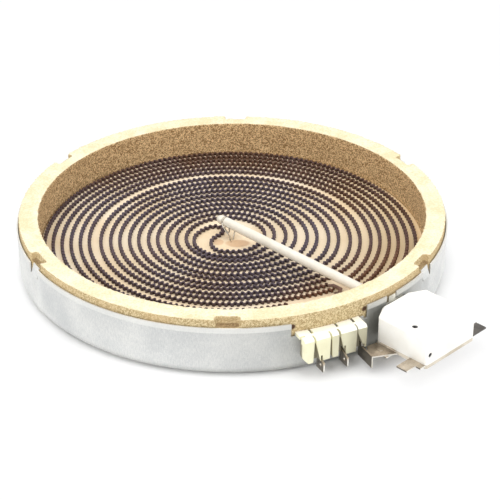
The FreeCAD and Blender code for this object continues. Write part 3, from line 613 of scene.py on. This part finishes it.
class Steps:
    """Adds geometry nodes and links them, one call for each."""

    def __init__(self, tree):
        self.tree = tree
        self.given = tree.nodes.new("NodeGroupInput")

    def add(self, kind, settings=None, inputs=None):
        node = self.tree.nodes.new(kind)
        for key, value in (settings or {}).items():
            setattr(node, key, value)
        for key, value in (inputs or {}).items():
            if isinstance(value, bpy.types.NodeSocket):
                self.tree.links.new(value, node.inputs[key])
            else:
                node.inputs[key].default_value = value
        return node

    def maths(self, operation, first, second=0.0):
        return self.add("ShaderNodeMath", {"operation": operation}, {0: first, 1: second}).outputs[0]

    def vectors(self, operation, first, second):
        return self.add("ShaderNodeVectorMath", {"operation": operation}, {0: first, 1: second}).outputs[0]

    def finish(self, geometry):
        """Every tree ends in Realize Instances and Set Material."""
        real = self.add("GeometryNodeRealizeInstances", None, {0: geometry}).outputs[0]
        material = self.given.outputs["Material"]
        inked = self.add("GeometryNodeSetMaterial", None, {0: real, "Material": material})
        end = self.tree.nodes.new("NodeGroupOutput")
        self.tree.links.new(inked.outputs[0], end.inputs[0])


def rough_tree():
    tree = start_tree("crumbled surface")
    ids = [input_socket(tree, "Material", "NodeSocketMaterial", None)]
    ids.append(input_socket(tree, "Depth", "NodeSocketFloat", 0.0002))
    ids.append(input_socket(tree, "Grain", "NodeSocketFloat", 700.0))
    steps = Steps(tree)
    given = steps.given.outputs
    grain = steps.add("ShaderNodeTexNoise", None, {"Scale": given["Grain"], "Detail": 2.0})
    centred = steps.maths("SUBTRACT", grain.outputs[0], 0.5)
    amount = steps.maths("MULTIPLY", centred, given["Depth"])
    normal = steps.add("GeometryNodeInputNormal").outputs[0]
    scale = steps.add("ShaderNodeVectorMath", {"operation": "SCALE"}, {0: normal, "Scale": amount})
    moved = steps.add("GeometryNodeSetPosition", None, {0: given["Geometry"], "Offset": scale.outputs[0]})
    steps.finish(moved.outputs[0])
    return tree, ids


def rough_ring():
    ring = welded_copy("insulation_ring", "insulation_ring_finished")
    cells = ring.modifiers.new("cells", "REMESH")
    cells.mode = "VOXEL"
    cells.voxel_size = 0.85 * MM
    plain_mesh(ring)
    tree, (material, depth, grain) = rough_tree()
    run_tree(ring, tree, {material: FINISHES["ring_insulation"], depth: 0.8 * MM, grain: 480.0})
    for face in ring.data.polygons:
        face.use_smooth = True
    return settle(ring, "insulation_ring")


ring = rough_ring()
print("ring faces:", len(ring.data.polygons))

# %% [markdown]
# ## The corrugated ribbons
# Each circuit is one long strip of thin alloy standing on its edge and folded to and fro across
# its own line, like a paper fan seen from above. So the shape is a rule: follow the circuit's
# path, swing to both sides once in 3.1 mm, and stand a thin strip on the result. The rule is a
# Geometry Nodes tree: resample the path evenly, push each point sideways by a wave of the
# distance along the path, and sweep an upright rectangle along it.

# %% The paths of both circuits
SPIRAL_START = {"a": 10.05, "b": 15.33}
SPIRAL_FROM = {"a": 262.0, "b": 262.0}
SPIRAL_GROWTH, SPIRAL_END = 9.13, 2113.5
STEP_FROM, STEP_TO = 280.0, 340.0
HAIRPIN = (
    (-5.9, -16.6), (-8.4, -15.0), (-10.6, -11.8), (-11.5, -7.4), (-10.9, -3.6), (-9.2, -0.8),
    (-6.9, 1.4), (-5.2, 3.6), (-4.6, 6.2), (-5.2, 8.7), (-6.9, 10.4), (-9.6, 11.2),
    (-12.4, 10.2), (-15.4, 7.6), (-18.2, 4.2), (-20.2, 0.0), (-20.6, -5.3), (-19.7, -10.8),
    (-17.8, -14.0), (-15.2, -16.8), (-12.7, -19.1), (-9.0, -20.9),
)
OUTER_RADII = (99.9, 95.35, 90.55, 85.75, 80.8, 76.0)
OUTER_CENTRE = Vector((-1.05, 0.3, 0))
OUTER_FROM, OUTER_TO = -38.5, 290.0


def on_circle(radius, degrees, centre=Vector((0, 0, 0))):
    angle = math.radians(degrees)
    return centre + Vector((radius * math.cos(angle), radius * math.sin(angle), 0))


def spiral_radius(strand, degrees):
    """Radius after so many degrees: nearly round turns that step outwards under the tube."""
    turns = degrees / 360
    whole = math.floor((degrees - STEP_FROM) / 360)
    part = min((degrees - STEP_FROM - 360 * whole) / (STEP_TO - STEP_FROM), 1.0)
    stair = whole + part * part * (3 - 2 * part) + STEP_FROM / 360 - turns
    east = (-0.60 - 0.151 * turns) * math.cos(math.radians(degrees))
    north = (-0.063 - 0.187 * turns) * math.sin(math.radians(degrees))
    steady = SPIRAL_START[strand] + SPIRAL_GROWTH * turns
    return steady + (-4.43 + 3.30 * turns) * stair + east + north


def angles(first, last, step=3.0):
    count = round(abs(last - first) / step)
    return [first + (last - first) * i / count for i in range(count + 1)]


def rounded(points, times=3):
    """Points with their corners cut off a few times, which leaves a smooth line."""
    for _ in range(times):
        cut = [points[0]]
        for here, there in zip(points, points[1:]):
            cut += [here.lerp(there, 0.25), here.lerp(there, 0.75)]
        points = cut + [points[-1]]
    return points


def inner_path():
    """Strand a inwards, a hairpin near the middle, strand b outwards."""
    inwards = [on_circle(spiral_radius("a", a), a) for a in angles(SPIRAL_END, SPIRAL_FROM["a"])]
    outwards = [on_circle(spiral_radius("b", a), a) for a in angles(SPIRAL_FROM["b"], SPIRAL_END)]
    turn = [inwards[-1], *(Vector((x, y, 0)) for x, y in HAIRPIN), outwards[0]]
    return inwards + rounded(turn)[1:-1] + outwards


def outer_path():
    """Strands to and fro, with a half circle at each end."""
    path = []
    first, last = OUTER_TO + 2, OUTER_FROM
    for i, radius in enumerate(OUTER_RADII):
        if i == len(OUTER_RADII) - 1:
            last = OUTER_TO + 2
        path += [on_circle(radius, a, OUTER_CENTRE) for a in angles(first, last)]
        if i < len(OUTER_RADII) - 1:
            following = OUTER_RADII[i + 1]
            hub = on_circle((radius + following) / 2, last, OUTER_CENTRE)
            way = 1 if last > first else -1
            path += [on_circle((radius - following) / 2, last + s * way, hub) for s in range(15, 180, 15)]
        first, last = last, (OUTER_TO if last == OUTER_FROM else OUTER_FROM)
    return path


# %% [markdown]
# The wave isn't a plain sine: the strip is folded between toothed rollers, so its crests are flat
# and its flanks steep. Cutting a tall sine off at both sides gives that. Twelve points for each
# fold are enough, since a fold is about six pixels wide in a close view.

# %% The folding rule
RIBBON_HEIGHT = 2.2


def ribbon_tree():
    tree = start_tree("folded ribbon")
    ids = {"material": input_socket(tree, "Material", "NodeSocketMaterial", None)}
    for name, value in (("Pitch", 3.1), ("Swing", 0.8), ("Height", RIBBON_HEIGHT), ("Thickness", 0.25), ("Step", 0.26)):
        ids[name.lower()] = input_socket(tree, name, "NodeSocketFloat", value * MM)
    steps = Steps(tree)
    given = steps.given.outputs
    even = steps.add("GeometryNodeResampleCurve", {"mode": "LENGTH"},
                     {"Curve": given["Geometry"], "Length": given["Step"]})
    length = steps.add("GeometryNodeSplineParameter").outputs["Length"]
    turns = steps.maths("DIVIDE", length, given["Pitch"])
    wave = steps.maths("SINE", steps.maths("MULTIPLY", turns, 2 * math.pi))
    tall = steps.maths("MULTIPLY", wave, 1.7)
    cut = steps.maths("MAXIMUM", steps.maths("MINIMUM", tall, 1.0), -1.0)
    sideways = steps.maths("MULTIPLY", cut, given["Swing"])
    tangent = steps.add("GeometryNodeInputTangent").outputs[0]
    across = steps.vectors("CROSS_PRODUCT", tangent, (0, 0, 1))
    push = steps.add("ShaderNodeVectorMath", {"operation": "SCALE"}, {0: across, "Scale": sideways})
    folded = steps.add("GeometryNodeSetPosition", None, {0: even.outputs[0], "Offset": push.outputs[0]})
    upright = steps.add("GeometryNodeSetCurveNormal", {"mode": "Z_UP"}, {0: folded.outputs[0]})
    section = steps.add("GeometryNodeCurvePrimitiveQuadrilateral", None,
                        {"Width": given["Thickness"], "Height": given["Height"]})
    strip = steps.add("GeometryNodeCurveToMesh", None,
                      {"Curve": upright.outputs[0], "Profile Curve": section.outputs[0], "Fill Caps": True})
    steps.finish(strip.outputs[0])
    return tree, ids


FOLDING, FOLD_INPUTS = ribbon_tree()


def ribbon(node, path):
    """The folded strip that follows a path of points in millimetres."""
    curve = bpy.data.curves.new(node + "_path", "CURVE")
    curve.dimensions = "3D"
    line = curve.splines.new("POLY")
    line.points.add(len(path) - 1)
    for point, place in zip(line.points, path):
        point.co = (place.x * MM, place.y * MM, (BED_TOP + RIBBON_HEIGHT / 2) * MM, 1)
    guide = bpy.data.objects.new(node + "_path", curve)
    scene.collection.objects.link(guide)
    modifier = guide.modifiers.new("fold", "NODES")
    modifier.node_group = FOLDING
    modifier[FOLD_INPUTS["material"]] = FINISHES["ribbon_alloy"]
    modifier[FOLD_INPUTS["height"]] = RIBBON_HEIGHT * MM
    bpy.context.view_layer.update()
    depsgraph = bpy.context.evaluated_depsgraph_get()
    mesh = bpy.data.meshes.new_from_object(guide.evaluated_get(depsgraph))
    bpy.data.objects.remove(guide)
    piece = settle(new_piece(node + "_folded", mesh), node)
    print(f"{piece.name}: {len(mesh.polygons)} faces")
    return piece


ribbon("heating_ribbon_inner", inner_path())
ribbon("heating_ribbon_outer", outer_path())

# %% [markdown]
# ## The wire clip
# A bent spring wire goes round the neck of the end cap, makes a small eye below the tube and
# stands in the insulation. A curve with a round bevel is the natural way to model wire: the
# bends stay smooth and the thickness even.

# %% Clip wire
NEAR_FOOT, FAR_FOOT = (0.4, -2.0), (1.5, -0.5)


def by_tube(s, d, z):
    """A point given along the tube, across it and up, in millimetres, in the object's frame."""
    x = s * math.cos(LIMITER) - d * math.sin(LIMITER)
    y = s * math.sin(LIMITER) + d * math.cos(LIMITER)
    return Vector((x * MM, y * MM, z * MM))


def wire(name, points, closed=False, radius=0.4):
    curve = bpy.data.curves.new(name, "CURVE")
    curve.dimensions = "3D"
    curve.bevel_depth = radius * MM
    curve.bevel_resolution = 3
    curve.use_fill_caps = True
    line = curve.splines.new("NURBS")
    line.points.add(len(points) - 1)
    for point, place in zip(line.points, points):
        point.co = (*place, 1)
    line.use_cyclic_u = closed
    line.use_endpoint_u = not closed
    line.order_u = 3
    line.resolution_u = 8
    guide = bpy.data.objects.new(name, curve)
    scene.collection.objects.link(guide)
    bpy.context.view_layer.update()
    mesh = bpy.data.meshes.new_from_object(guide.evaluated_get(bpy.context.evaluated_depsgraph_get()))
    bpy.data.objects.remove(guide)
    return mesh


def make_clip():
    s = -5.4
    z = TUBE_HEIGHT
    round_neck = [by_tube(s, 2.3 * math.cos(a), z + 2.3 * math.sin(a)) for a in
                  [math.radians(30 * i) for i in range(12)]]
    eye = [by_tube(-0.8 + 1.9 * math.cos(a), -2.8, z - 2.0 + 1.9 * math.sin(a)) for a in
           [math.radians(45 * i) for i in range(8)]]
    near = [by_tube(s, -2.2, z), by_tube(s + 1.2, -3.3, z - 0.6), by_tube(-1.8, -3.2, z - 3.2),
            by_tube(0.4, -3.0, z - 4.6), by_tube(NEAR_FOOT[0], NEAR_FOOT[1], BED_TOP + 1.5),
            by_tube(NEAR_FOOT[0], NEAR_FOOT[1], BED_TOP - 1.3)]
    far = [by_tube(s, 2.2, z), by_tube(s + 1.0, 3.2, z + 0.4), by_tube(s + 2.2, 3.3, z - 1.4),
           by_tube(0.6, 2.0, z - 4.2), by_tube(FAR_FOOT[0], FAR_FOOT[1], BED_TOP + 2),
           by_tube(FAR_FOOT[0], FAR_FOOT[1], BED_TOP - 1.3)]
    joint = bmesh.new()
    parts = (wire("neck", round_neck, True), wire("eye", eye, True), wire("near", near), wire("far", far))
    for mesh in parts:
        joint.from_mesh(mesh)
    mesh = bpy.data.meshes.new("wire_clip_finished")
    joint.to_mesh(mesh)
    joint.free()
    for face in mesh.polygons:
        face.use_smooth = True
    return settle(new_piece("wire_clip_finished", mesh), "wire_clip")


clip = make_clip()
print("clip faces:", len(clip.data.polygons))

# %% [markdown]
# ## What stays as it was packed
# The springs, pins and screws inside or under the head are right as solids. They only need
# their finishes, set in the slots of their own meshes.

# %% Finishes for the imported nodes
replaced = set(SOFTENED) | {"insulation_ring", "heating_ribbon_inner", "heating_ribbon_outer", "wire_clip"}
for name, packed in nodes.items():
    packed.data.materials.clear()
    packed.data.materials.append(FINISHES[FINISH_OF.get(name, SLOT_OF[name])])
print("kept as packed:", ", ".join(sorted(set(nodes) - replaced)))

# %% [markdown]
# ## Floor, light and camera
# The photograph is a plain catalogue shot: white surround, soft light from above and a little
# from the left, and a weak shadow close to the pan. The floor is a white diffuse surface whose
# camera rays are lifted towards pure white, more so further out, so that only the shadow right
# beside the pan stays visible.

# %% The white floor
def white_floor():
    mesh = bpy.data.meshes.new("floor")
    reach, low = 6.0, -0.2 * MM
    corners = [(-reach, -reach, low), (reach, -reach, low), (reach, reach, low), (-reach, reach, low)]
    mesh.from_pydata(corners, [], [(0, 1, 2, 3)])
    floor = new_piece("floor", mesh)
    finish = Finish("floor_white")
    tree = finish.tree
    path = tree.nodes.new("ShaderNodeLightPath").outputs
    seen = Signal(finish, path["Is Camera Ray"]).highest(Signal(finish, path["Is Glossy Ray"]))
    seen = seen.highest(Signal(finish, path["Is Transmission Ray"]))
    glow = tree.nodes.new("ShaderNodeEmission")
    glow.inputs["Color"].default_value = (1, 1, 1, 1)
    glow.inputs["Strength"].default_value = 1.0
    finish.set(Base_Color=(0.95, 0.95, 0.95, 1), Roughness=1.0)
    finish.shader.inputs["Specular IOR Level"].default_value = 0.0
    mix = tree.nodes.new("ShaderNodeMixShader")
    x, y = finish.axes()[:2]
    radius = finish.node("ShaderNodeVectorMath", {"operation": "LENGTH"}, {0: finish.vector(x, y, 0.0)}, 1)
    white = radius.between(0.115, 0.15) * 0.8
    tree.links.new((seen * white).socket, mix.inputs[0])
    tree.links.new(finish.shader.outputs[0], mix.inputs[1])
    tree.links.new(glow.outputs[0], mix.inputs[2])
    tree.links.new(mix.outputs[0], tree.nodes["Material Output"].inputs["Surface"])
    mesh.materials.append(finish.material)
    return floor


floor = white_floor()


# %% Soft studio light
def area_light(name, place, size, power, target=(0, 0, 0.01)):
    lamp = bpy.data.lights.new(name, "AREA")
    lamp.shape = "RECTANGLE"
    lamp.size, lamp.size_y = size
    lamp.energy = power
    holder = bpy.data.objects.new(name, lamp)
    holder.location = place
    holder.rotation_euler = (Vector(target) - Vector(place)).to_track_quat("-Z", "Y").to_euler()
    scene.collection.objects.link(holder)
    return holder


area_light("overhead", (-0.1, 0.05, 1.2), (1.8, 1.5), 15)
area_light("front_left", (-0.9, -1.1, 0.7), (0.9, 0.7), 8.5)
area_light("right_fill", (1.2, -0.5, 0.6), (0.8, 0.8), 7.5)

world = bpy.data.worlds.new("studio")
world.use_nodes = True
scene.world = world
sky = world.node_tree
background = sky.nodes["Background"]
background.inputs["Color"].default_value = (1, 1, 1, 1)
rays = sky.nodes.new("ShaderNodeLightPath").outputs
seen = sky.nodes.new("ShaderNodeMath")
seen.operation = "MAXIMUM"
sky.links.new(rays["Is Camera Ray"], seen.inputs[0])
sky.links.new(rays["Is Glossy Ray"], seen.inputs[1])
level = sky.nodes.new("ShaderNodeMapRange")
level.inputs["To Min"].default_value = 0.36
level.inputs["To Max"].default_value = 1.0
sky.links.new(seen.outputs[0], level.inputs["Value"])
sky.links.new(level.outputs[0], background.inputs["Strength"])

# %% [markdown]
# The camera was found by matching the ellipses of the rim, the ring and the foot of the pan. It
# looks down by 29 degrees from 0.83 m away, and a small shift puts the axis of the pan a little
# left of and above the middle of the picture, where the photograph has it.

# %% Camera
ELEVATION, ROLL = math.radians(29.35), math.radians(0.384)
DISTANCE, AIM = 0.8314, Vector((0, 0, 0.015))
camera_data = bpy.data.cameras.new("camera")
camera_data.sensor_width = 36.0
camera_data.lens = 110.8
camera_data.shift_x = 0.0359
camera_data.shift_y = -0.0343
camera = bpy.data.objects.new("camera", camera_data)
back = Vector((0, -math.cos(ELEVATION), math.sin(ELEVATION)))
camera.location = AIM + back * DISTANCE
look = (-back).to_track_quat("-Z", "Y").to_matrix().to_4x4()
camera.rotation_euler = (look @ Matrix.Rotation(-ROLL, 4, "Z")).to_euler()
scene.collection.objects.link(camera)
scene.camera = camera
scene.view_settings.view_transform = "Standard"
print("camera at", [round(v, 4) for v in camera.location])
